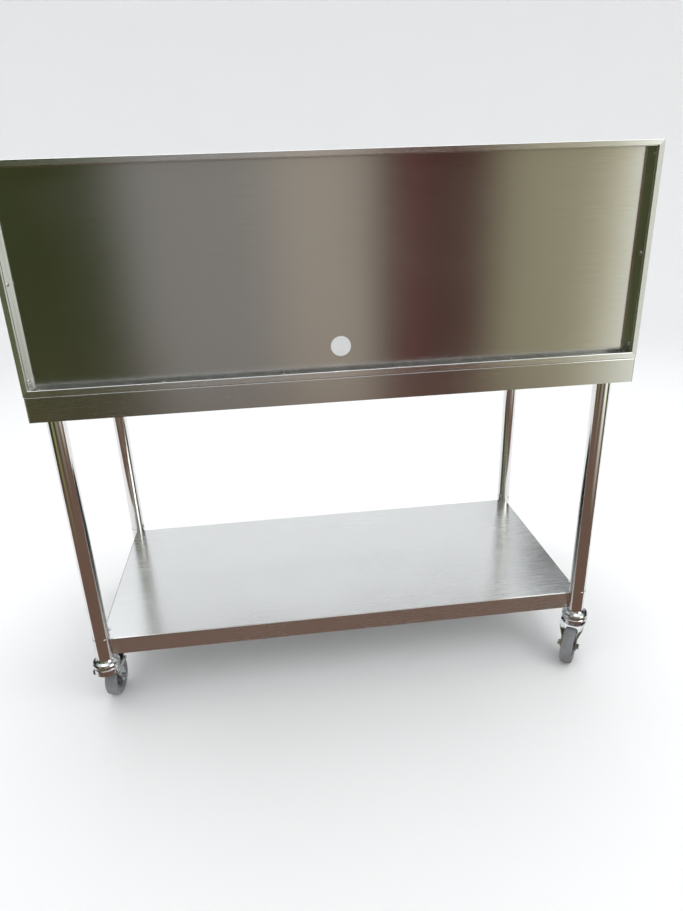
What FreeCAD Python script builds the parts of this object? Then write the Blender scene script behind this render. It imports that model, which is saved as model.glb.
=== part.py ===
"""Mobile stainless preparation table with a high framed splash, a solid undershelf and four swivel casters.

Frame: +Z up, floor at z = 0, +X along the length, -Y towards the recessed back of the splash, and the
operator stands on the +Y side. The origin is on the floor under the middle of the whole table.
All sizes are in millimetres. One STEP file is written for each separate piece.
"""

import FreeCAD
import Part

import math
import os

# ---- driving dimensions -------------------------------------------------------------------------
LENGTH = 1220.0            # overall length of the worktop
DEPTH = 700.0              # overall depth of the worktop
DECK_Z = 800.0             # working height
APRON = 51.0               # height of the folded worktop edge
TOP_Z = 1210.0             # top of the splash
LEG_X = 583.0              # leg axis from the middle, along the length
LEG_INSET_REAR = 75.0      # leg axis from the rear face of the worktop
LEG_INSET_FRONT = 82.0     # leg axis from the front face of the worktop
LEG_R = 19.05              # 38.1 mm tube
SHELF_Z = 179.0            # top face of the undershelf
SHELF_SKIRT = 44.0         # height of the folded undershelf edge
LEG_BOTTOM_Z = 132.0       # underside of the lower leg posts, where the casters start
WHEEL_R = 44.5
WHEEL_W = 28.0
TRAIL = 38.0               # axle offset behind the swivel axis

# sheet and tube gauges
DECK_T = 1.5
SHELF_T = 1.2
PANEL_T = 1.0
TUBE_WALL = 1.2
DECK_BEND = 4.0            # outside bend radius of the worktop
CHANNEL_GAP = 0.5          # between the worktop's bend and the channels inside it
WELD_LIFT = 0.7            # tack welds start above the inside bend of the panel's foot
SHELF_BEND = 2.5
DECK_HEM = 6.0             # inward return along the bottom of the worktop edge
SHELF_HEM = 14.0           # the same, on the undershelf

# splash frame: 25 mm deep tube at the top and sides, and a low hemmed lip along the foot
RAIL_DEPTH = 25.0
RAIL_FACE = 10.0
SLANT = 8.0                # how far the inner face of each stile leans in, front to back
FLANGE = 21.0              # depth of the panel's rearward flanges
FOOT_FLANGE = 8.0          # the same, on the foot of the panel
LIP_H = 12.0               # height of the folded lip along the foot
LIP_T = 4.0
LIP_ROUND = 1.8
LIP_FOOT_T = 1.5
LIP_FOOT = 15.0            # how far the lip's foot runs in over the worktop
TACK_PITCH = 234.0         # spacing of the small welds along the foot of the panel
TACK_R = 3.0
HOLE_R = 20.0
HOLE_X = 0.0
HOLE_Z = 856.5
RIVET_HEAD_R = 3.6
RIVET_DEPTH = 10.0         # rivets from the rear face of the frame

# legs and their joints
POST_TOP_Z = 189.4         # top of the lower post, just above the undershelf
COLLAR_H = 1.6
COLLAR_R = 19.75
SPIGOT_R = 17.3
POST_WALL = 1.5
CHANNEL_H = 25.0           # cross channels under the worktop
CHANNEL_W = 80.0
CHANNEL_T = 1.5
SOCKET_FLANGE_R = 23.5
SOCKET_FLANGE_T = 3.0
SOCKET_BOSS = 40.0

# caster head
RACE_R = 31.0
CROWN_R = 29.5
CROWN_TOP_Z = 112.4
CROWN_T = 3.5
CROWN_BOTTOM_Z = 96.5
RACE_BOTTOM_Z = 113.4
BALL_R = 2.9
BALL_RING_R = 22.0
BALL_COUNT = 14
STEM_R = 5.9
FORK_T = 2.5
ARM_IN = 16.8              # inner face of each fork arm beside the wheel
AXLE_R = 4.0
SLEEVE_R = 6.0
HUB_R = 31.0
RIM_HALF = 12.2             # half width of the hub's rim
BOSS_HALF = 15.9            # half width of the hub's boss
TYRE_EDGE_R = 4.0
PEDAL_PIN_Y = 40.0
PEDAL_PIN_Z = 97.0
PEDAL_PIN_R = 3.0
PEDAL_HALF_W = 24.0

# caster: name, side along X, front or rear leg, direction of the trail in degrees, with brake
CASTERS = [
    ("rear_left", -1, "rear", 82.0, True),
    ("rear_right", 1, "rear", -126.0, False),
    ("front_left", -1, "front", -75.0, False),
    ("front_right", 1, "front", 130.0, True),
]

# ---- places worked out from the dimensions ------------------------------------------------------
REAR_Y = -DEPTH / 2
FRONT_Y = REAR_Y + DEPTH
LEG_REAR_Y = REAR_Y + LEG_INSET_REAR
LEG_FRONT_Y = FRONT_Y - LEG_INSET_FRONT
LEG_SPOTS = [(s * LEG_X, y) for y in (LEG_REAR_Y, LEG_FRONT_Y) for s in (-1, 1)]
HALF = LENGTH / 2
DECK_UNDER_Z = DECK_Z - DECK_T
CHANNEL_BOTTOM_Z = DECK_UNDER_Z - CHANNEL_H
LEG_TOP_Z = CHANNEL_BOTTOM_Z - SOCKET_FLANGE_T
LEG_START_Z = POST_TOP_Z + COLLAR_H


def vec(x, y, z):
    return FreeCAD.Vector(x, y, z)


def box(x0, x1, y0, y1, z0, z1):
    """A box between two corners."""
    return Part.makeBox(x1 - x0, y1 - y0, z1 - z0, vec(x0, y0, z0))


def rod(r, z0, z1, x=0.0, y=0.0):
    """An upright cylinder."""
    return Part.makeCylinder(r, z1 - z0, vec(x, y, z0))


def cross_rod(r, x0, x1, y, z):
    """A cylinder along X."""
    return Part.makeCylinder(r, x1 - x0, vec(x0, y, z), vec(1, 0, 0))


def tube(r, wall, z0, z1, x, y):
    return rod(r, z0, z1, x, y).cut(rod(r - wall, z0 - 1, z1 + 1, x, y))


def prism(points, direction):
    """A closed outline pushed along a vector."""
    wire = Part.makePolygon([vec(*p) for p in points + points[:1]])
    return Part.Face(wire).extrude(vec(*direction))


def revolved(points):
    """An (r, z) outline turned about the Z axis."""
    wire = Part.makePolygon([vec(r, 0, z) for r, z in points + points[:1]])
    return Part.Face(wire).revolve(vec(0, 0, 0), vec(0, 0, 1), 360)


def fuse_all(shapes):
    return shapes[0].multiFuse(shapes[1:]).removeSplitter() if len(shapes) > 1 else shapes[0]


def rounded(shape, radius, keep):
    """Fillets the edges that the keep test accepts."""
    edges = [e for e in shape.Edges if keep(e)]
    return shape.makeFillet(radius, edges) if edges else shape


def save(node, *shapes):
    """Writes one node: one solid, or several separate solids."""
    solids = [s for shape in shapes for s in shape.Solids]
    Part.makeCompound(solids).exportStep(os.path.join("parts", node + ".step"))


def pan(x0, x1, y0, y1, top, height, t, hem, bend):
    """A folded sheet tray, open below: a flat top, four skirts and an inward return along the bottom."""
    bottom = top - height

    def above(e):
        return e.BoundBox.ZMax > bottom + 0.01

    outer = rounded(box(x0, x1, y0, y1, bottom, top), bend, above)
    cavity = box(x0 + t, x1 - t, y0 + t, y1 - t, bottom + t, top - t)
    mouth = box(x0 + hem, x1 - hem, y0 + hem, y1 - hem, bottom - 1, bottom + 2 * t)
    return outer.cut(rounded(cavity, bend - t, above)).cut(mouth)


# ---- worktop ------------------------------------------------------------------------------------
def worktop_deck():
    return pan(-HALF, HALF, REAR_Y, FRONT_Y, DECK_Z, APRON, DECK_T, DECK_HEM, DECK_BEND)


def channel(x0, x1, y0, y1, along_x):
    """An open-topped channel that hangs under the worktop sheet, its flanges against the sheet."""
    z0, z1, t = CHANNEL_BOTTOM_Z, DECK_UNDER_Z, CHANNEL_T
    outer = box(x0, x1, y0, y1, z0, z1)
    if along_x:
        return outer.cut(box(x0 - 1, x1 + 1, y0 + t, y1 - t, z0 + t, z1 + 1))
    return outer.cut(box(x0 + t, x1 - t, y0 - 1, y1 + 1, z0 + t, z1 + 1))


def save_worktop():
    save("worktop_deck", worktop_deck())
    gap = DECK_BEND + CHANNEL_GAP
    cross_y0, cross_y1 = REAR_Y + 44.0, FRONT_Y - gap
    outer_x = HALF - gap
    for name, side in (("left", -1), ("right", 1)):
        x0, x1 = sorted((side * outer_x, side * (outer_x - CHANNEL_W)))
        save("deck_channel_" + name, channel(x0, x1, cross_y0, cross_y1, False))
    stiffener_x = outer_x - CHANNEL_W
    bars = [channel(-stiffener_x, stiffener_x, y - 30, y + 30, True)
            for y in (LEG_REAR_Y + 95, LEG_FRONT_Y - 95)]
    save("deck_stiffeners", *bars)


# ---- splash -------------------------------------------------------------------------------------
FRAME_IN_X = HALF - RAIL_FACE
FRAME_IN_Z1 = TOP_Z - RAIL_FACE
PANEL_Y = REAR_Y + RAIL_DEPTH          # operator side of the panel, level with the frame
PANEL_REAR_Y = PANEL_Y - PANEL_T
SLANT_ANGLE = math.degrees(math.atan2(SLANT, RAIL_DEPTH))
RIVET_ZS = [828.5, 1007.5, 1186.5]
TACK_XS = [TACK_PITCH * (i - 2.5) for i in range(6)]


def slanted_x(y, inset):
    """Distance from the middle to the leaning inner face of a stile, moved inwards by a wall."""
    return FRAME_IN_X - SLANT * (y - REAR_Y) / RAIL_DEPTH - inset / math.cos(math.radians(SLANT_ANGLE))


def is_long_edge(e):
    """The long edges of the frame on its rear and front faces."""
    b = e.BoundBox
    return max(b.XLength, b.ZLength) > 300 and b.YLength < 0.01


def top_rail():
    hx, z1, f, w = HALF, TOP_Z, RAIL_FACE, TUBE_WALL
    outline = [(-hx, z1), (hx, z1), (hx - f, z1 - f), (-hx + f, z1 - f)]
    core = [(-hx + 3 * w, z1 - w), (hx - 3 * w, z1 - w), (hx - f, z1 - f + w), (-hx + f, z1 - f + w)]
    solid = prism([(x, REAR_Y, z) for x, z in outline], (0, RAIL_DEPTH, 0))
    inside = prism([(x, REAR_Y + w, z) for x, z in core], (0, RAIL_DEPTH - 2 * w, 0))
    return rounded(solid, 0.8, is_long_edge).cut(inside)


def lip_outline(y0, y1):
    """The rear face of the foot lip, with ends mitred to meet the stiles."""
    hx, z0, f = HALF, DECK_Z, RAIL_FACE
    corners = [(-hx, z0), (hx, z0), (hx - f, z0 + LIP_H), (-hx + f, z0 + LIP_H)]
    return prism([(x, y0, z) for x, z in corners], (0, y1 - y0, 0))


def foot_lip():
    """The low hemmed lip that closes the recess, with a foot that lies on the worktop."""
    face = rounded(lip_outline(REAR_Y, REAR_Y + LIP_T), LIP_ROUND,
                   lambda e: is_long_edge(e) and e.BoundBox.ZMin > DECK_Z + 1)
    half_foot = FRAME_IN_X - 10
    foot = box(-half_foot, half_foot, REAR_Y + 1, REAR_Y + LIP_FOOT, DECK_Z, DECK_Z + LIP_FOOT_T)
    return fuse_all([face, foot])


def stile(side):
    """One upright of the frame: mitred at the top, its inner face leaning in, standing on the worktop."""
    hx, z0, z1, f, w = HALF, DECK_Z, TOP_Z, RAIL_FACE, TUBE_WALL
    y0, y1 = REAR_Y, REAR_Y + RAIL_DEPTH
    section = [(hx, y0), (hx, y1), (slanted_x(y1, 0), y1), (slanted_x(y0, 0), y0)]
    core = [(hx - w, y0 + w), (hx - w, y1 - w), (slanted_x(y1 - w, -w), y1 - w), (slanted_x(y0 + w, -w), y0 + w)]
    solid = rounded(prism([(side * x, y, z0) for x, y in section], (0, 0, z1 - z0)), 0.8, is_long_upright)
    inside = prism([(side * x, y, z0 + w) for x, y in core], (0, 0, z1 - z0 - f - 2 * w))
    end = [(hx - f - SLANT - 5, z1 - f), (hx - f, z1 - f), (hx + 2, z1 + 2), (hx - f - SLANT - 5, z1 + 2)]
    mitre = prism([(side * x, y0 - 1, z) for x, z in end], (0, RAIL_DEPTH + 2, 0))
    body = solid.cut(inside).cut(mitre).cut(lip_outline(REAR_Y - 1, REAR_Y + LIP_T))
    for z in RIVET_ZS:
        body = body.cut(at_rivet(cross_rod(1.65, -6, 6, 0, 0), side, z))
    return max(body.Solids, key=lambda part: part.Volume)


def is_long_upright(e):
    """The upright outer edges of a stile."""
    b = e.BoundBox
    return b.ZLength > 300 and max(abs(b.XMin), abs(b.XMax)) > HALF - 0.01


def splash_panel():
    """The sheet inside the frame: its flanges are turned back, and its foot stands on the worktop."""
    z0, z1, t = DECK_Z, FRAME_IN_Z1, PANEL_T
    ya = PANEL_Y - FLANGE

    def pushed(y0, y1, inset, low, high):
        outline = [(-slanted_x(y0, inset), y0), (slanted_x(y0, inset), y0),
                   (slanted_x(y1, inset), y1), (-slanted_x(y1, inset), y1)]
        return prism([(x, y, low) for x, y in outline], (0, 0, high - low))

    def bend(e, y):
        b = e.BoundBox
        return b.YLength < 0.01 and b.YMax > y - 0.01

    body = rounded(pushed(ya, PANEL_Y, 0, z0, z1), 1.6, lambda e: bend(e, PANEL_Y))
    hollow = rounded(pushed(ya - 1, PANEL_REAR_Y, t, z0 + t, z1 - t), 0.6, lambda e: bend(e, PANEL_REAR_Y))
    panel = body.cut(hollow)
    panel = panel.cut(box(-HALF, HALF, ya - 1, PANEL_Y - FOOT_FLANGE, z0 - 1, z0 + t + 1))
    panel = panel.cut(Part.makeCylinder(HOLE_R, 20, vec(HOLE_X, PANEL_Y - 10, HOLE_Z), vec(0, 1, 0)))
    for side in (-1, 1):
        for z in RIVET_ZS:
            panel = panel.cut(at_rivet(cross_rod(1.65, -3, 3, 0, 0), side, z))
    return panel


def at_rivet(shape, side, z):
    """Moves a part from the origin, pointing out along X, to a rivet's place on the leaning flange."""
    y = REAR_Y + RIVET_DEPTH
    shape.rotate(vec(0, 0, 0), vec(0, 0, 1), side * SLANT_ANGLE)
    shape.translate(vec(side * slanted_x(y, PANEL_T), y, z))
    return shape


def rivet(side, z):
    """A pop rivet: a domed head on the flange, its shank through the flange and the tube wall."""
    grip = PANEL_T + TUBE_WALL
    ball = Part.makeSphere(5.0, vec(side * 3.4, 0, 0))
    head = ball.common(cross_rod(RIVET_HEAD_R, *sorted((0, -side * 1.6)), 0, 0))
    shank = cross_rod(1.6, *sorted((0, side * grip)), 0, 0)
    bulb = cross_rod(2.4, *sorted((side * grip, side * (grip + 1.8))), 0, 0)
    return at_rivet(fuse_all([head, shank, bulb]), side, z)


def tack_weld(x):
    """A small weld bead on the foot of the panel, against its rear face just above the bend."""
    z0, z1 = DECK_Z + PANEL_T + WELD_LIFT, DECK_Z + 6.5
    bead = rod(TACK_R, z0, z1, x, PANEL_REAR_Y).fuse(Part.makeSphere(TACK_R, vec(x, PANEL_REAR_Y, z1)))
    space = box(x - 5, x + 5, PANEL_REAR_Y - 5, PANEL_REAR_Y, z0, z1 + 5)
    return bead.common(space).removeSplitter()


def save_splash():
    save("splash_top_rail", top_rail())
    save("splash_foot_lip", foot_lip())
    save("splash_left_stile", stile(-1))
    save("splash_right_stile", stile(1))
    save("splash_panel", splash_panel())
    save("splash_rivets", *[rivet(side, z) for side in (-1, 1) for z in RIVET_ZS])
    save("panel_tack_welds", *[tack_weld(x) for x in TACK_XS])


# ---- legs ---------------------------------------------------------------------------------------
SET_SCREW_LOW_Z = LEG_START_Z + 9.0
SET_SCREW_HIGH_Z = CHANNEL_BOTTOM_Z - 14.0


def side_rod(r, r0, r1, x, y, z, angle):
    """A cylinder that points away from a leg axis, from radius r0 to r1."""
    a = math.radians(angle)
    d = vec(math.cos(a), math.sin(a), 0)
    return Part.makeCylinder(r, r1 - r0, vec(x, y, z) + d * r0, d)


def inward_angle(x, y):
    """The direction from a leg towards the middle of the table."""
    return math.degrees(math.atan2(0.8 if y < 0 else -0.8, -1.0 if x > 0 else 1.0))


def leg_socket(x, y):
    flange = rod(SOCKET_FLANGE_R, LEG_TOP_Z, CHANNEL_BOTTOM_Z, x, y)
    boss = rod(LEG_R - TUBE_WALL - 0.15, LEG_TOP_Z - SOCKET_BOSS, LEG_TOP_Z, x, y)
    boss = boss.makeChamfer(2.0, [e for e in boss.Edges if e.BoundBox.ZMax < LEG_TOP_Z - 1])
    body = fuse_all([flange, boss])
    return body.cut(side_rod(2.6, 8, 30, x, y, SET_SCREW_HIGH_Z, inward_angle(x, y)))


def leg(x, y):
    body = tube(LEG_R, TUBE_WALL, LEG_START_Z, LEG_TOP_Z, x, y)
    for z in (SET_SCREW_LOW_Z, SET_SCREW_HIGH_Z):
        body = body.cut(side_rod(3.1, 8, 30, x, y, z, inward_angle(x, y)))
    return body


def leg_spigot(x, y):
    """The plug that joins a leg to its lower post, with a thin collar that shows between them."""
    plug = rod(SPIGOT_R, POST_TOP_Z - 28, LEG_START_Z + 32, x, y)
    collar = rod(COLLAR_R, POST_TOP_Z, LEG_START_Z, x, y)
    body = fuse_all([plug, collar])
    return body.cut(side_rod(2.6, 8, 30, x, y, SET_SCREW_LOW_Z, inward_angle(x, y)))


def set_screw(x, y, z):
    a = inward_angle(x, y)
    shank = side_rod(2.5, 9, LEG_R + 0.6, x, y, z, a)
    head = side_rod(4.6, LEG_R + 0.6, LEG_R + 4.6, x, y, z, a)
    head = head.makeFillet(1.6, [e for e in head.Edges if far_end(e, x, y)])
    socket = side_rod(2.0, LEG_R + 2.6, LEG_R + 6, x, y, z, a)
    return fuse_all([shank, head]).cut(socket)


def far_end(e, x, y):
    """The circular edge of a screw head that is furthest from the leg axis."""
    c = e.BoundBox.Center
    return math.hypot(c.x - x, c.y - y) > LEG_R + 4


def save_legs():
    names = ["rear_left", "rear_right", "front_left", "front_right"]
    for name, (x, y) in zip(names, LEG_SPOTS):
        save("leg_" + name, leg(x, y))
        save("shelf_post_" + name, tube(LEG_R, POST_WALL, LEG_BOTTOM_Z, POST_TOP_Z, x, y))
    save("leg_sockets", *[leg_socket(x, y) for x, y in LEG_SPOTS])
    save("leg_spigots", *[leg_spigot(x, y) for x, y in LEG_SPOTS])
    save("leg_set_screws", *[set_screw(x, y, z) for x, y in LEG_SPOTS
                             for z in (SET_SCREW_LOW_Z, SET_SCREW_HIGH_Z)])
    inserts = []
    for x, y in LEG_SPOTS:
        plug = rod(LEG_R - POST_WALL - 0.1, LEG_BOTTOM_Z + 0.5, LEG_BOTTOM_Z + 20, x, y)
        inserts.append(plug.cut(rod(STEM_R + 0.1, LEG_BOTTOM_Z - 1, LEG_BOTTOM_Z + 30, x, y)))
    save("caster_inserts", *inserts)


# ---- undershelf ---------------------------------------------------------------------------------
SHELF_X = LEG_X + 5.0
SHELF_REAR_Y = LEG_REAR_Y + 3.0
SHELF_FRONT_Y = LEG_FRONT_Y - 2.0


def save_undershelf():
    shelf = pan(-SHELF_X, SHELF_X, SHELF_REAR_Y, SHELF_FRONT_Y, SHELF_Z, SHELF_SKIRT, SHELF_T, SHELF_HEM, SHELF_BEND)
    for x, y in LEG_SPOTS:
        shelf = shelf.cut(rod(LEG_R + 0.1, 0, 400, x, y))
    pieces = sorted(shelf.Solids, key=lambda s: s.Volume)
    save("undershelf", pieces[-1])
    z1 = SHELF_Z - SHELF_T
    z0 = z1 - 25.0
    half_len = SHELF_X - 60.0
    bar = box(-half_len, half_len, -35, 35, z0, z1)
    bar = bar.cut(box(-half_len - 1, half_len + 1, -35 + 1.5, 35 - 1.5, z0 + 1.5, z1 + 1))
    save("undershelf_stiffener", bar)


# ---- casters: built with the swivel axis on Z and the trail along +Y, then turned and moved -----
def caster_stem():
    """The threaded stem and kingpin: clamped in the leg, with a head under the fork crown."""
    return revolved([(0, CROWN_TOP_Z - CROWN_T - 4.2), (10, CROWN_TOP_Z - CROWN_T - 4.2),
                     (11, CROWN_TOP_Z - CROWN_T - 3.2), (11, CROWN_TOP_Z - CROWN_T - 0.4),
                     (STEM_R, CROWN_TOP_Z - CROWN_T - 0.4), (STEM_R, LEG_BOTTOM_Z + 17),
                     (STEM_R - 1.2, LEG_BOTTOM_Z + 18.5), (0, LEG_BOTTOM_Z + 18.5)])


def ball_groove():
    return Part.makeTorus(BALL_RING_R, BALL_R + 0.3, vec(0, 0, (RACE_BOTTOM_Z + CROWN_TOP_Z) / 2))


def caster_race():
    """The fixed upper race: a pressed cup with a rounded rim under the leg post."""
    z0, z1 = RACE_BOTTOM_Z, LEG_BOTTOM_Z
    solid = revolved([(STEM_R + 0.02, z0), (RACE_R - 2.5, z0), (RACE_R, z0 + 2.5),
                      (RACE_R, z0 + 9.0), (RACE_R - 2.6, z0 + 12.6), (22.5, z1 - 2.6), (20.5, z1),
                      (STEM_R + 0.02, z1)])
    rim = [e for e in solid.Edges if e.Closed and e.BoundBox.XLength > 2 * RACE_R - 6]
    return solid.makeFillet(1.1, rim).cut(ball_groove())


def fork_arm(side):
    """One pressed arm: an outline in the trail plane, cut from a sheet that leans in to the wheel."""
    t, a, top = FORK_T, ARM_IN, CROWN_BOTTOM_Z + 7.5
    lean = [(27.0, top), (27.0 + t, top), (27.0 + t, top - 9), (a + t, top - 34), (a + t, 24.0),
            (a, 24.0), (a, top - 33.6), (27.0, top - 8.6)]
    sheet = prism([(side * x, -40, z) for x, z in lean], (0, 120, 0))
    ax = WHEEL_R
    p = [vec(0, y, z) for y, z in ((-15, top), (20, top), (35, top - 18), (TRAIL + 12, ax + 2),
                                   (TRAIL + 8.5, ax - 8.5), (TRAIL, ax - 12), (TRAIL - 8.5, ax - 8.5),
                                   (TRAIL - 12.5, ax + 4), (8, top - 32), (-15, top - 12))]
    edges = [Part.LineSegment(p[0], p[1]).toShape(), Part.Arc(p[1], p[2], p[3]).toShape(),
             Part.Arc(p[3], p[4], p[5]).toShape(), Part.Arc(p[5], p[6], p[7]).toShape(),
             Part.Arc(p[7], p[8], p[9]).toShape(), Part.LineSegment(p[9], p[0]).toShape()]
    outline = Part.Face(Part.Wire(edges)).extrude(vec(side * 40, 0, 0))
    return sheet.common(outline)


def caster_fork(with_brake):
    z1, z0 = CROWN_TOP_Z, CROWN_BOTTOM_Z
    crown = revolved([(STEM_R + 0.08, z1 - CROWN_T), (CROWN_R - FORK_T, z1 - CROWN_T), (CROWN_R - FORK_T, z0),
                      (CROWN_R, z0), (CROWN_R, z1 - 1.6), (CROWN_R - 1.6, z1), (STEM_R + 0.08, z1)])
    fork = fuse_all([crown.cut(ball_groove()), fork_arm(-1), fork_arm(1)])
    if with_brake:
        py, pz = PEDAL_PIN_Y, PEDAL_PIN_Z
        for side in (-1, 1):
            x0, x1 = sorted((side * 27.0, side * (27.0 + FORK_T)))
            web = prism([(x0, 10, pz - 4), (x0, 10, pz + 5), (x0, py, pz + 5), (x0, py, pz - 5)],
                        (x1 - x0, 0, 0))
            fork = fork.fuse(web).fuse(cross_rod(6.0, x0, x1, py, pz))
    fork = fork.cut(cross_rod(AXLE_R + 0.1, -40, 40, TRAIL, WHEEL_R))
    if with_brake:
        fork = fork.cut(cross_rod(PEDAL_PIN_R + 0.05, -40, 40, PEDAL_PIN_Y, PEDAL_PIN_Z))
    return fork


def caster_axle():
    """Axle bolt, lock nut and the sleeve that the wheel turns on."""
    outer = ARM_IN + FORK_T
    sleeve = cross_rod(SLEEVE_R, -ARM_IN + 0.1, ARM_IN - 0.1, TRAIL, WHEEL_R)
    sleeve = sleeve.cut(cross_rod(AXLE_R + 0.1, -40, 40, TRAIL, WHEEL_R))

    def hexa(x0, x1):
        r = 6.5 / math.cos(math.radians(30))
        pts = [(x0, TRAIL + r * math.cos(math.radians(60 * i)), WHEEL_R + r * math.sin(math.radians(60 * i)))
               for i in range(6)]
        return prism(pts, (x1 - x0, 0, 0))

    head = hexa(-outer - 5.3, -outer - 0.05)
    bolt = fuse_all([cross_rod(AXLE_R, -outer - 0.1, outer + 9.0, TRAIL, WHEEL_R), head])
    nut = hexa(outer + 0.05, outer + 6.0)
    nut = nut.fuse(cross_rod(5.6, outer + 5.9, outer + 7.6, TRAIL, WHEEL_R))
    nut = nut.removeSplitter().cut(cross_rod(AXLE_R + 0.05, 0, 60, TRAIL, WHEEL_R))
    return [bolt, nut, sleeve]


def caster_hub():
    """The moulded wheel centre: a boss, a web with six pockets on each side, and a rim."""
    side = [(SLEEVE_R + 0.06, BOSS_HALF), (10.5, BOSS_HALF), (12.0, 10.0), (HUB_R - 6, 8.5),
            (HUB_R - 4, RIM_HALF), (HUB_R, RIM_HALF)]
    solid = revolved(side + [(r, -z) for r, z in reversed(side)])
    ring = revolved([(14.0, 2.5), (HUB_R - 7.5, 2.5), (HUB_R - 7.5, 20.0), (14.0, 20.0)])
    for i in range(6):
        wedge = prism([(0, 0, 2.5), (40, -19.0, 2.5), (40, 19.0, 2.5)], (0, 0, 20.0))
        pocket = ring.common(wedge)
        pocket.rotate(vec(0, 0, 0), vec(0, 0, 1), 60.0 * i)
        other = pocket.copy()
        other.rotate(vec(0, 0, 0), vec(1, 0, 0), 180)
        solid = solid.cut(pocket).cut(other)
    return onto_axle(solid)


def caster_tyre():
    w, r, e = WHEEL_W / 2, WHEEL_R, TYRE_EDGE_R
    crown = 1.0
    pts = [vec(HUB_R, 0, -RIM_HALF), vec(r - 8, 0, -w), vec(r - e, 0, -w + 0.2), vec(r - crown, 0, -w + e),
           vec(r, 0, 0), vec(r - crown, 0, w - e), vec(r - e, 0, w - 0.2), vec(r - 8, 0, w),
           vec(HUB_R, 0, RIM_HALF)]
    bulge = vec(r - e * 0.42, 0, -w + e * 0.42)
    bulge_top = vec(r - e * 0.42, 0, w - e * 0.42)
    edges = [Part.LineSegment(pts[0], pts[1]).toShape(), Part.LineSegment(pts[1], pts[2]).toShape(),
             Part.Arc(pts[2], bulge, pts[3]).toShape(), Part.Arc(pts[3], pts[4], pts[5]).toShape(),
             Part.Arc(pts[5], bulge_top, pts[6]).toShape(), Part.LineSegment(pts[6], pts[7]).toShape(),
             Part.LineSegment(pts[7], pts[8]).toShape(), Part.LineSegment(pts[8], pts[0]).toShape()]
    return onto_axle(Part.Face(Part.Wire(edges)).revolve(vec(0, 0, 0), vec(0, 0, 1), 360))


def onto_axle(shape):
    """Turns a Z-axis wheel part onto the axle, which runs along X."""
    shape.rotate(vec(0, 0, 0), vec(0, 1, 0), 90)
    shape.translate(vec(0, TRAIL, WHEEL_R))
    return shape


def brake_pedal():
    """A moulded foot pedal with a cam that comes down to the tyre when the pedal is pressed."""
    y, z, w = PEDAL_PIN_Y, PEDAL_PIN_Z, PEDAL_HALF_W
    cam = cross_rod(6.6, -14, 14, y, z)
    plate = prism([(-w, y - 2, z + 1.5), (-w, y - 2, z + 6.2), (-w, y + 14, z + 9.5), (-w, y + 34, z + 11.0),
                   (-w, y + 40, z + 9.0), (-w, y + 40, z + 6.0), (-w, y + 33, z + 7.0), (-w, y + 14, z + 5.5),
                   (-w, y + 5, z + 2.5)], (2 * w, 0, 0))
    cheeks = [cross_rod(5.6, x0, x0 + 4, y, z) for x0 in (-w, w - 4)]
    body = fuse_all([cam, plate] + cheeks)
    ribs = [box(-w, w, y + 13 + 5 * i, y + 14.4 + 5 * i, z + 9.0, z + 10.6 + 0.35 * i) for i in range(4)]
    return fuse_all([body] + ribs).cut(cross_rod(PEDAL_PIN_R + 0.08, -40, 40, y, z))


def brake_pin():
    y, z, x = PEDAL_PIN_Y, PEDAL_PIN_Z, 27.0 + FORK_T
    return fuse_all([cross_rod(PEDAL_PIN_R, -x - 0.2, x + 0.2, y, z), cross_rod(4.4, -x - 1.8, -x - 0.1, y, z),
                     cross_rod(4.4, x + 0.1, x + 1.8, y, z)])


def balls():
    mid = (RACE_BOTTOM_Z + CROWN_TOP_Z) / 2
    spots = [2 * math.pi * i / BALL_COUNT for i in range(BALL_COUNT)]
    return [Part.makeSphere(BALL_R, vec(BALL_RING_R * math.cos(a), BALL_RING_R * math.sin(a), mid))
            for a in spots]


def save_casters():
    for name, side, row, angle, with_brake in CASTERS:
        x = side * LEG_X
        y = LEG_REAR_Y if row == "rear" else LEG_FRONT_Y
        pieces = {"stem": [caster_stem()], "race": [caster_race()], "fork": [caster_fork(with_brake)],
                  "balls": balls(), "axle": caster_axle(), "hub": [caster_hub()], "tyre": [caster_tyre()]}
        if with_brake:
            pieces["brake_pedal"] = [brake_pedal()]
            pieces["brake_pin"] = [brake_pin()]
        for piece, shapes in pieces.items():
            for shape in shapes:
                shape.rotate(vec(0, 0, 0), vec(0, 0, 1), angle - 90.0)
                shape.translate(vec(x, y, 0))
            save("caster_" + name + "_" + piece, *shapes)


def main():
    os.makedirs("parts", exist_ok=True)
    save_worktop()
    save_splash()
    save_legs()
    save_undershelf()
    save_casters()


main()
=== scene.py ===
import math

import bmesh
import bpy
from mathutils import Matrix, Vector


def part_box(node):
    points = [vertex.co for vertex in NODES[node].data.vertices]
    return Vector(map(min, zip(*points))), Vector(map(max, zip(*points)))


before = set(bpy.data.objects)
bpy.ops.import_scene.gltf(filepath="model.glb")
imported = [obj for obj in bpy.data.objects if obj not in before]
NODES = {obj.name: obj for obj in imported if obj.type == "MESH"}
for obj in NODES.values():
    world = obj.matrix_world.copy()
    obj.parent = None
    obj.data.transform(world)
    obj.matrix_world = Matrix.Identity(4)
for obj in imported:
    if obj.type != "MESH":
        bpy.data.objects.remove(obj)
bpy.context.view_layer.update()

# ---- colours, linear ----------------------------------------------------------------------------
STEEL = (0.66, 0.66, 0.645)
STEEL_PALE = (0.80, 0.81, 0.81)
STEEL_DARK = (0.56, 0.555, 0.54)
POLISHED = (0.78, 0.775, 0.76)
ZINC = (0.78, 0.80, 0.82)
CAST = (0.42, 0.42, 0.42)
RIVET = (0.62, 0.62, 0.62)
RUBBER_GREY = (0.20, 0.205, 0.21)
NYLON_GREY = (0.13, 0.135, 0.145)
NYLON_BLACK = (0.012, 0.012, 0.013)
WELD = (0.40, 0.35, 0.30)
FLOOR_PALE = (0.86, 0.86, 0.86)

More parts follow.
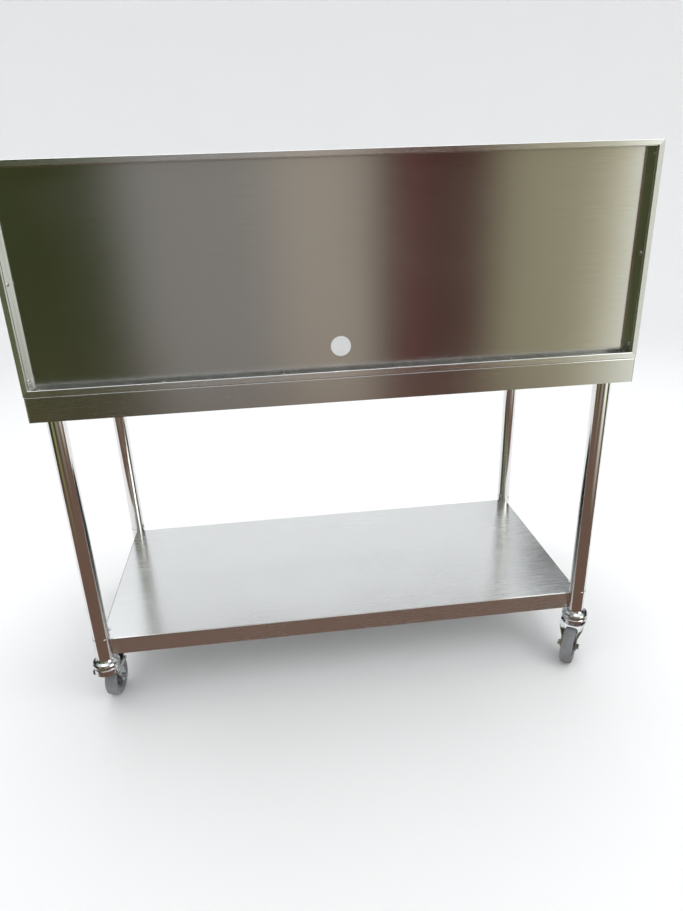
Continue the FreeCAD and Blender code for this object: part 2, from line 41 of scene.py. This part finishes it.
# painted reflections: what the polished steel sees around the studio, on glowing cards that only
# reflections meet
CARD_NIGHT = (0.012, 0.018, 0.016)
CARD_LEAF = (0.30, 0.34, 0.12)
CARD_OLIVE = (0.046, 0.056, 0.020)
CARD_MAUVE = (0.292, 0.278, 0.262)
CARD_WARM = (0.420, 0.372, 0.315)
CARD_MAROON = (0.082, 0.036, 0.032)
CARD_RED = (0.150, 0.045, 0.045)
CARD_GREEN_GREY = (0.350, 0.325, 0.215)
CARD_BEIGE = (0.540, 0.485, 0.310)
CARD_PALE = (1.15, 1.20, 1.12)
CARD_BROWN = (0.175, 0.108, 0.082)

# direction bands on the cards: degrees from straight out in front of the recessed side,
# positive to the right
BANDS = [(-150, CARD_NIGHT), (-60, CARD_NIGHT), (-50, CARD_LEAF), (-40, CARD_LEAF), (-31, CARD_OLIVE),
         (-18, CARD_OLIVE), (-13, CARD_MAUVE), (-3, CARD_MAUVE), (2, CARD_WARM), (8, CARD_WARM),
         (12, CARD_MAROON), (14, CARD_RED), (15, CARD_MAROON), (20, CARD_MAROON),
         (24, CARD_GREEN_GREY), (30, CARD_GREEN_GREY), (33, CARD_BEIGE), (36, CARD_PALE),
         (52, CARD_PALE), (60, CARD_LEAF), (72, CARD_NIGHT), (150, CARD_NIGHT)]

# ---- camera and studio, metres and degrees ------------------------------------------------------
SPLASH_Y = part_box("splash_top_rail")[0].y
CAMERA_PLACE = (-0.1462, SPLASH_Y - 1.2697, 1.159)
CAMERA_YAW = 6.148
CAMERA_PITCH = 22.40
CAMERA_ROLL = 2.09
LENS = 35.14
SENSOR_WIDTH = 36
STUDIO_R = 6.0
SWEEP_R = 1.6
SWEEP_STEPS = 8
RIM_Z = 3.4
STUDIO_STEPS = 96
CARD_R = 4.0
CARD_TOP = 3.6
CARD_STEPS = 100
CARD_GROUND_Z = 0.004
CARD_GROUND_GAP = 0.05
BROWN_NEAR = 1.4
BROWN_FAR = 3.0

# how fine the brushing is, and how far each scratch runs along the grain
GRAIN_SCALE = 1500
GRAIN_STRETCH = {"X": (0.010, 1, 1), "Z": (1, 1, 0.010)}


# ---- material helpers ---------------------------------------------------------------------------
def new_material(name, base, metallic, roughness):
    mat = bpy.data.materials.new(name)
    mat.use_nodes = True
    shader = mat.node_tree.nodes["Principled BSDF"]
    shader.inputs["Base Color"].default_value = (*base, 1)
    shader.inputs["Metallic"].default_value = metallic
    shader.inputs["Roughness"].default_value = roughness
    return mat, mat.node_tree, shader


def stretched_noise(tree, stretch, scale, detail):
    """Noise in object space, stretched by a different amount along each axis."""
    place = tree.nodes.new("ShaderNodeTexCoord")
    mapping = tree.nodes.new("ShaderNodeMapping")
    mapping.inputs["Scale"].default_value = stretch
    noise = tree.nodes.new("ShaderNodeTexNoise")
    noise.inputs["Scale"].default_value = scale
    noise.inputs["Detail"].default_value = detail
    noise.inputs["Roughness"].default_value = 0.6
    tree.links.new(place.outputs["Object"], mapping.inputs["Vector"])
    tree.links.new(mapping.outputs["Vector"], noise.inputs["Vector"])
    return noise.outputs["Fac"]


def ranged(tree, value, low, high, from_low=0.3, from_high=0.7):
    node = tree.nodes.new("ShaderNodeMapRange")
    node.inputs["From Min"].default_value = from_low
    node.inputs["From Max"].default_value = from_high
    node.inputs["To Min"].default_value = low
    node.inputs["To Max"].default_value = high
    tree.links.new(value, node.inputs["Value"])
    return node.outputs["Result"]


def multiply(tree, a, b):
    node = tree.nodes.new("ShaderNodeMath")
    node.operation = "MULTIPLY"
    tree.links.new(a, node.inputs[0])
    tree.links.new(b, node.inputs[1])
    return node.outputs["Value"]


def toned(tree, value, dark, light):
    """A colour that goes from dark to light with the value."""
    ramp = tree.nodes.new("ShaderNodeValToRGB")
    ramp.color_ramp.elements[0].color = (*dark, 1)
    ramp.color_ramp.elements[1].color = (*light, 1)
    ramp.color_ramp.elements[0].position = 0.25
    ramp.color_ramp.elements[1].position = 0.75
    tree.links.new(value, ramp.inputs["Fac"])
    return ramp.outputs["Color"]


def bumped(tree, shader, value, strength, distance):
    bump = tree.nodes.new("ShaderNodeBump")
    bump.inputs["Strength"].default_value = strength
    bump.inputs["Distance"].default_value = distance
    tree.links.new(value, bump.inputs["Height"])
    tree.links.new(bump.outputs["Normal"], shader.inputs["Normal"])


def scaled(colour, factor):
    return tuple(min(1.0, c * factor) for c in colour)


def brushed(name, base, grain, rough_low, rough_high, anisotropy):
    """Brushed sheet: long fine scratches along the grain, with broad hazy wear over them."""
    mat, tree, shader = new_material(name, base, 1.0, rough_low)
    scratches = stretched_noise(tree, GRAIN_STRETCH[grain], GRAIN_SCALE, 4)
    haze = stretched_noise(tree, (1, 1, 1), 3.2, 5)
    tone = toned(tree, scratches, scaled(base, 0.95), scaled(base, 1.05))
    tree.links.new(tone, shader.inputs["Base Color"])
    rough = multiply(tree, ranged(tree, scratches, rough_low, rough_high), ranged(tree, haze, 0.88, 1.15))
    tree.links.new(rough, shader.inputs["Roughness"])
    bumped(tree, shader, scratches, 0.06, 0.0002)
    shader.inputs["Anisotropic"].default_value = anisotropy
    tangent = tree.nodes.new("ShaderNodeTangent")
    tangent.direction_type = "RADIAL"
    tangent.axis = grain
    tree.links.new(tangent.outputs["Tangent"], shader.inputs["Tangent"])
    return mat


def polished(name, base, rough_low, rough_high):
    """Polished tube: nearly a mirror, with faint draw lines and finger haze."""
    mat, tree, shader = new_material(name, base, 1.0, rough_low)
    lines = stretched_noise(tree, (1, 1, 0.02), 420, 3)
    haze = stretched_noise(tree, (1, 1, 0.4), 14, 5)
    rough = multiply(tree, ranged(tree, haze, rough_low, rough_high), ranged(tree, lines, 0.85, 1.2))
    tree.links.new(rough, shader.inputs["Roughness"])
    tree.links.new(toned(tree, haze, scaled(base, 0.94), base), shader.inputs["Base Color"])
    bumped(tree, shader, lines, 0.05, 0.0001)
    return mat


def plated(name, base, rough_low, rough_high):
    """Bright zinc plate over pressed steel: mottled gloss, a little dull in the hollows."""
    mat, tree, shader = new_material(name, base, 1.0, rough_low)
    mottle = stretched_noise(tree, (1, 1, 1), 60, 6)
    spots = stretched_noise(tree, (1, 1, 1), 340, 3)
    tree.links.new(toned(tree, mottle, scaled(base, 0.78), base), shader.inputs["Base Color"])
    tree.links.new(ranged(tree, mottle, rough_high, rough_low), shader.inputs["Roughness"])
    bumped(tree, shader, spots, 0.12, 0.0002)
    return mat


def rubber(name, base):
    """Grey non-marking tyre: dusty, with scuffs that are lighter on the tread."""
    mat, tree, shader = new_material(name, base, 0.0, 0.6)
    dust = stretched_noise(tree, (1, 1, 1), 34, 6)
    fine = stretched_noise(tree, (1, 1, 1), 900, 3)
    tree.links.new(toned(tree, dust, scaled(base, 0.80), scaled(base, 1.35)), shader.inputs["Base Color"])
    tree.links.new(ranged(tree, dust, 0.46, 0.70), shader.inputs["Roughness"])
    bumped(tree, shader, fine, 0.18, 0.0002)
    return mat


def moulded(name, base, roughness):
    """Moulded nylon with a fine spark-eroded texture."""
    mat, tree, shader = new_material(name, base, 0.0, roughness)
    fine = stretched_noise(tree, (1, 1, 1), 1300, 2)
    broad = stretched_noise(tree, (1, 1, 1), 25, 4)
    tree.links.new(toned(tree, broad, scaled(base, 0.85), scaled(base, 1.25)), shader.inputs["Base Color"])
    tree.links.new(ranged(tree, broad, roughness * 0.85, roughness * 1.15), shader.inputs["Roughness"])
    bumped(tree, shader, fine, 0.22, 0.0002)
    return mat


def weld_bead(name):
    """Weld metal with straw and grey heat tint."""
    mat, tree, shader = new_material(name, WELD, 1.0, 0.4)
    heat = stretched_noise(tree, (1, 1, 1), 260, 4)
    tree.links.new(toned(tree, heat, scaled(WELD, 0.5), scaled(WELD, 1.6)), shader.inputs["Base Color"])
    tree.links.new(ranged(tree, heat, 0.28, 0.55), shader.inputs["Roughness"])
    bumped(tree, shader, heat, 0.5, 0.0006)
    return mat


MATERIALS = {
    "deck": brushed("worktop_brushed_steel", STEEL, "X", 0.18, 0.27, 0.8),
    "panel": brushed("splash_brushed_steel", STEEL, "X", 0.15, 0.22, 0.85),
    "frame_x": brushed("frame_brushed_steel_along", STEEL_PALE, "X", 0.20, 0.30, 0.7),
    "frame_z": brushed("frame_brushed_steel_upright", STEEL_PALE, "Z", 0.20, 0.30, 0.7),
    "channel": brushed("channel_brushed_steel", STEEL_DARK, "X", 0.34, 0.46, 0.5),
    "shelf": brushed("shelf_brushed_steel", STEEL_PALE, "X", 0.20, 0.28, 0.75),
    "tube": polished("polished_tube", POLISHED, 0.07, 0.16),
    "zinc": plated("bright_zinc_plate", ZINC, 0.13, 0.30),
    "cast": plated("die_cast_socket", CAST, 0.40, 0.60),
    "tyre": rubber("grey_rubber", RUBBER_GREY),
    "hub": moulded("grey_nylon", NYLON_GREY, 0.42),
    "pedal": moulded("black_nylon", NYLON_BLACK, 0.38),
    "weld": weld_bead("weld_metal"),
    "rivet": plated("rivet_metal", RIVET, 0.25, 0.40),
}


def finish_for(node):
    """Which material a CAD node wears."""
    endings = {"_tyre": "tyre", "_hub": "hub", "_brake_pedal": "pedal"}
    for ending, key in endings.items():
        if node.endswith(ending):
            return key
    starts = [("leg_sockets", "cast"), ("leg_set_screws", "zinc"), ("leg_", "tube"), ("shelf_post", "tube"),
              ("caster_", "zinc"), ("undershelf_stiffener", "channel"), ("undershelf", "shelf"),
              ("splash_top", "frame_x"), ("splash_foot", "frame_x"), ("splash_left", "frame_z"),
              ("splash_right", "frame_z"), ("splash_rivets", "rivet"), ("splash_panel", "panel"),
              ("panel_tack", "weld"), ("deck_", "channel"), ("worktop", "deck")]
    for start, key in starts:
        if node.startswith(start):
            return key
    return "deck"


def dress_nodes():
    for name, obj in NODES.items():
        mat = MATERIALS[finish_for(name)]
        if obj.material_slots:
            for place in obj.material_slots:
                place.material = mat
        else:
            obj.data.materials.append(mat)


# ---- studio -------------------------------------------------------------------------------------
def lathe(name, profile, steps):
    """A mesh turned about Z from an (r, z) profile."""
    mesh = bpy.data.meshes.new(name)
    bm = bmesh.new()
    rings = []
    for r, z in profile:
        angles = [2 * math.pi * i / steps for i in range(steps)]
        rings.append([bm.verts.new((r * math.cos(a), r * math.sin(a), z)) for a in angles])
    for low, high in zip(rings, rings[1:]):
        for i in range(steps):
            j = (i + 1) % steps
            bm.faces.new((low[i], low[j], high[j], high[i]))
    bmesh.ops.recalc_face_normals(bm, faces=bm.faces)
    bm.to_mesh(mesh)
    bm.free()
    for face in mesh.polygons:
        face.use_smooth = True
    obj = bpy.data.objects.new(name, mesh)
    bpy.context.scene.collection.objects.link(obj)
    return obj


def add_floor():
    """A pale floor that sweeps up into a wall all round."""
    flat_r = STUDIO_R - SWEEP_R
    profile = [(0.001, 0.0), (1.0, 0.0), (2.5, 0.0), (flat_r, 0.0)]
    for i in range(1, SWEEP_STEPS + 1):
        a = math.radians(90 * i / SWEEP_STEPS)
        profile.append((flat_r + SWEEP_R * math.sin(a), SWEEP_R - SWEEP_R * math.cos(a)))
    profile.append((STUDIO_R, RIM_Z))
    floor = lathe("studio_floor", profile, STUDIO_STEPS)
    mat, tree, shader = new_material("pale_floor", FLOOR_PALE, 0.0, 0.7)
    haze = stretched_noise(tree, (1, 1, 1), 1.5, 3)
    tree.links.new(toned(tree, haze, scaled(FLOOR_PALE, 0.99), FLOOR_PALE), shader.inputs["Base Color"])
    shader.inputs["Specular IOR Level"].default_value = 0.1
    floor.data.materials.append(mat)


def reflections_only(obj):
    """This object is met by reflections and by nothing else."""
    obj.visible_camera = False
    obj.visible_diffuse = False
    obj.visible_shadow = False
    obj.visible_transmission = False
    obj.visible_volume_scatter = False


def band_colour(tree):
    """The card colours by direction around the table: painted reflection colours for the steel."""
    place = tree.nodes.new("ShaderNodeNewGeometry")
    split = tree.nodes.new("ShaderNodeSeparateXYZ")
    tree.links.new(place.outputs["Position"], split.inputs["Vector"])
    back = tree.nodes.new("ShaderNodeMath")
    back.operation = "MULTIPLY"
    back.inputs[1].default_value = -1
    tree.links.new(split.outputs["Y"], back.inputs[0])
    turn = tree.nodes.new("ShaderNodeMath")
    turn.operation = "ARCTAN2"
    tree.links.new(split.outputs["X"], turn.inputs[0])
    tree.links.new(back.outputs["Value"], turn.inputs[1])
    first, last = BANDS[0][0], BANDS[-1][0]
    share = ranged(tree, turn.outputs["Value"], 0, 1, math.radians(first), math.radians(last))
    ramp = tree.nodes.new("ShaderNodeValToRGB")
    elements = ramp.color_ramp.elements
    elements[0].position, elements[0].color = 0, (*BANDS[0][1], 1)
    elements[1].position, elements[1].color = 1, (*BANDS[-1][1], 1)
    for angle, colour in BANDS[1:-1]:
        mark = elements.new((angle - first) / (last - first))
        mark.color = (*colour, 1)
    tree.links.new(share, ramp.inputs["Fac"])
    return ramp.outputs["Color"]


def glow(name, make_colour):
    mat = bpy.data.materials.new(name)
    mat.use_nodes = True
    tree = mat.node_tree
    tree.nodes.clear()
    out = tree.nodes.new("ShaderNodeOutputMaterial")
    light = tree.nodes.new("ShaderNodeEmission")
    tree.links.new(make_colour(tree), light.inputs["Color"])
    tree.links.new(light.outputs["Emission"], out.inputs["Surface"])
    return mat


def brown_floor_reflection(tree):
    """The floor card: a painted reflection of a brown floor close to the table, going over to the bands
    further away.
    """
    place = tree.nodes.new("ShaderNodeNewGeometry")
    length = tree.nodes.new("ShaderNodeVectorMath")
    length.operation = "LENGTH"
    tree.links.new(place.outputs["Position"], length.inputs[0])
    share = ranged(tree, length.outputs["Value"], 0, 1, BROWN_NEAR, BROWN_FAR)
    mix = tree.nodes.new("ShaderNodeMix")
    mix.data_type = "RGBA"
    mix.inputs["A"].default_value = (*CARD_BROWN, 1)
    tree.links.new(share, mix.inputs["Factor"])
    tree.links.new(band_colour(tree), mix.inputs["B"])
    return mix.outputs["Result"]


def wall_strip(name, radius, top, first, last, steps):
    """A strip of wall standing on the floor between two directions around the table."""
    mesh = bpy.data.meshes.new(name)
    bm = bmesh.new()
    rings = []
    for z in (0.0, top):
        angles = [math.radians(first + (last - first) * i / steps) for i in range(steps + 1)]
        rings.append([bm.verts.new((radius * math.sin(a), -radius * math.cos(a), z)) for a in angles])
    low, high = rings
    for i in range(steps):
        bm.faces.new((low[i], low[i + 1], high[i + 1], high[i]))
    bm.to_mesh(mesh)
    bm.free()
    obj = bpy.data.objects.new(name, mesh)
    bpy.context.scene.collection.objects.link(obj)
    return obj


def ground_sheet(name, corner, far_corner, z):
    """A flat rectangle lying at height z."""
    mesh = bpy.data.meshes.new(name)
    (x0, y0), (x1, y1) = corner, far_corner
    mesh.from_pydata([(x0, y0, z), (x1, y0, z), (x1, y1, z), (x0, y1, z)], [], [(0, 1, 2, 3)])
    obj = bpy.data.objects.new(name, mesh)
    bpy.context.scene.collection.objects.link(obj)
    return obj


def add_cards():
    # glowing wall card that only reflections meet: painted reflections in the steel, not a lamp
    wall = wall_strip("card_wall", CARD_R, CARD_TOP, BANDS[0][0], BANDS[-1][0], CARD_STEPS)
    wall.data.materials.append(glow("card_wall_glow", band_colour))
    reflections_only(wall)
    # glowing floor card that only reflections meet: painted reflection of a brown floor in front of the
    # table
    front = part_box("undershelf")[0].y - CARD_GROUND_GAP
    ground = ground_sheet("card_ground", (-CARD_R, -CARD_R), (CARD_R, front), CARD_GROUND_Z)
    ground.data.materials.append(glow("card_ground_glow", brown_floor_reflection))
    reflections_only(ground)


def add_area(name, place, target, size, power):
    data = bpy.data.lights.new(name, "AREA")
    data.shape = "RECTANGLE"
    data.size, data.size_y = size
    data.energy = power
    obj = bpy.data.objects.new(name, data)
    obj.location = place
    aim = Vector(target) - Vector(place)
    obj.rotation_euler = aim.to_track_quat("-Z", "Y").to_euler()
    bpy.context.scene.collection.objects.link(obj)


def add_world():
    world = bpy.data.worlds.new("studio_world")
    world.use_nodes = True
    sky = world.node_tree.nodes["Background"]
    sky.inputs["Color"].default_value = (0.97, 0.985, 1.0, 1)
    sky.inputs["Strength"].default_value = 0.95
    bpy.context.scene.world = world


def add_lights():
    add_area("overhead_softbox", (0.0, 0.6, 3.6), (0, 0, 0.6), (4.0, 3.0), 70)
    add_area("side_softbox", (2.8, -2.2, 2.6), (0, 0, 0.7), (1.8, 1.8), 28)


def add_camera():
    yaw, pitch, roll = (math.radians(a) for a in (CAMERA_YAW, CAMERA_PITCH, CAMERA_ROLL))
    ahead = Vector((math.sin(yaw) * math.cos(pitch), math.cos(yaw) * math.cos(pitch), -math.sin(pitch)))
    right = Vector((math.cos(yaw), -math.sin(yaw), 0))
    down = ahead.cross(right)
    side = right * math.cos(roll) + down * math.sin(roll)
    below = down * math.cos(roll) - right * math.sin(roll)
    data = bpy.data.cameras.new("camera")
    data.sensor_fit = "HORIZONTAL"
    data.sensor_width = SENSOR_WIDTH
    data.lens = LENS
    camera = bpy.data.objects.new("camera", data)
    turn = Matrix((side, -below, -ahead)).transposed()
    camera.matrix_world = Matrix.Translation(CAMERA_PLACE) @ turn.to_4x4()
    bpy.context.scene.collection.objects.link(camera)
    bpy.context.scene.camera = camera


def main():
    dress_nodes()
    add_floor()
    add_cards()
    add_world()
    add_lights()
    add_camera()
    bpy.context.scene.view_settings.view_transform = "Standard"


main()
